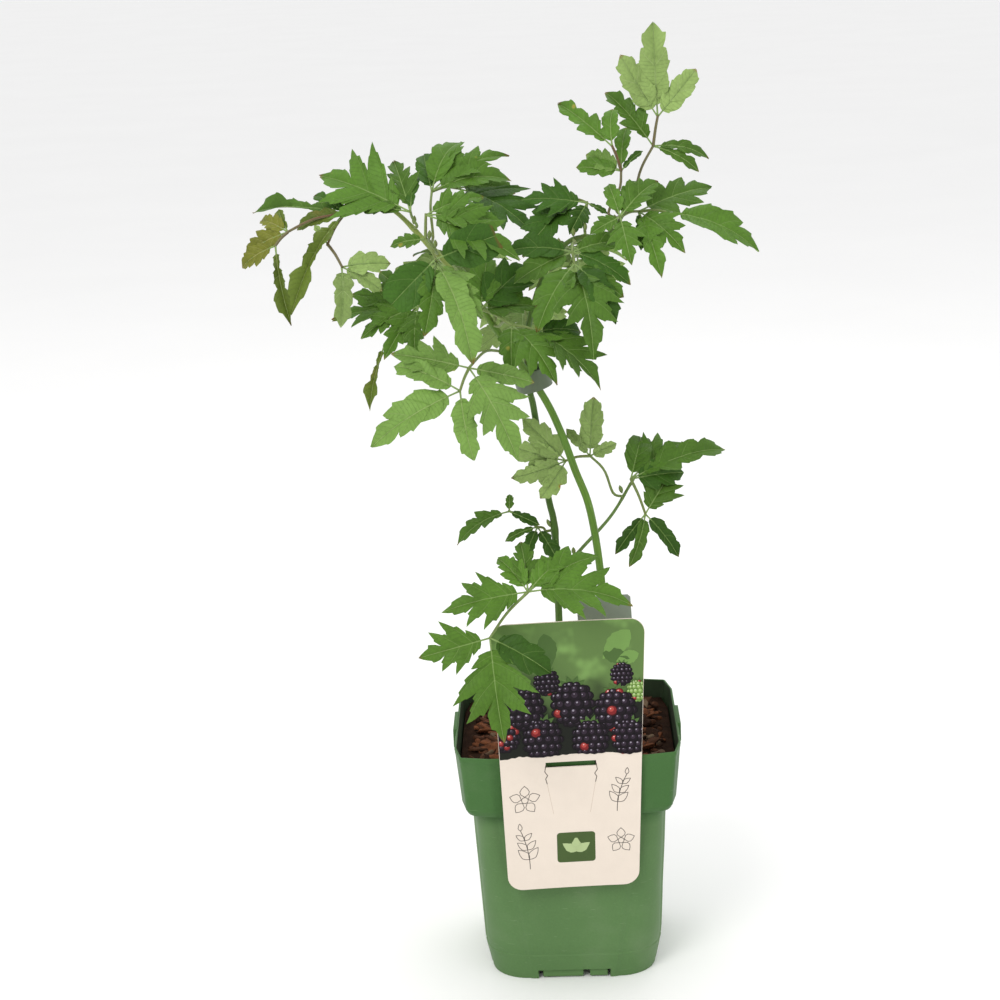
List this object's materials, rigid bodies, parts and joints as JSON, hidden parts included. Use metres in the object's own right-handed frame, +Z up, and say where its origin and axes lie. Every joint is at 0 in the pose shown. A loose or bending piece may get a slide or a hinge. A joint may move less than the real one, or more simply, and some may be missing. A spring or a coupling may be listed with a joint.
{
  "type": "potted thornless evergreen bramble",
  "caption": "Young thornless evergreen bramble with cut leaves on arching canes, tied together, in a square green plastic pot with a hanging picture card.",
  "frame": {"origin": "middle of the pot's flat underside", "axes": "+Z up, -Y the front of the pot, where the card hangs, +X to its right"},
  "size_m": [0.3009, 0.2245, 0.5729],
  "materials": {
    "pot_plastic": "matte",
    "bark_mulch": "matte",
    "coated_card": "satin",
    "clear_strip": "satin",
    "green_stem": "satin",
    "leaf": "satin"
  },
  "bodies": {
    "root": {"pot": "pot_plastic", "soil": "bark_mulch", "card": "coated_card", "tag": "clear_strip", "tie": "clear_strip", "cane_main": "green_stem", "cane_second": "green_stem", "cane_shoot": "green_stem", "spray_arch_tip": "leaf", "spray_crest": "leaf", "spray_front": "leaf", "spray_back_crest": "leaf", "spray_left": "leaf", "spray_hanging": "leaf", "spray_middle": "leaf", "spray_right_hanging": "leaf", "spray_inner": "leaf", "spray_top": "leaf", "spray_upper_left": "leaf", "spray_right": "leaf", "spray_low_middle": "leaf", "spray_low_right": "leaf", "spray_low_left": "leaf", "spray_skirt": "leaf", "spray_back_left": "leaf", "spray_back_right": "leaf", "spray_back_middle": "leaf", "spray_back_low": "leaf"}
  },
  "joints": []
}
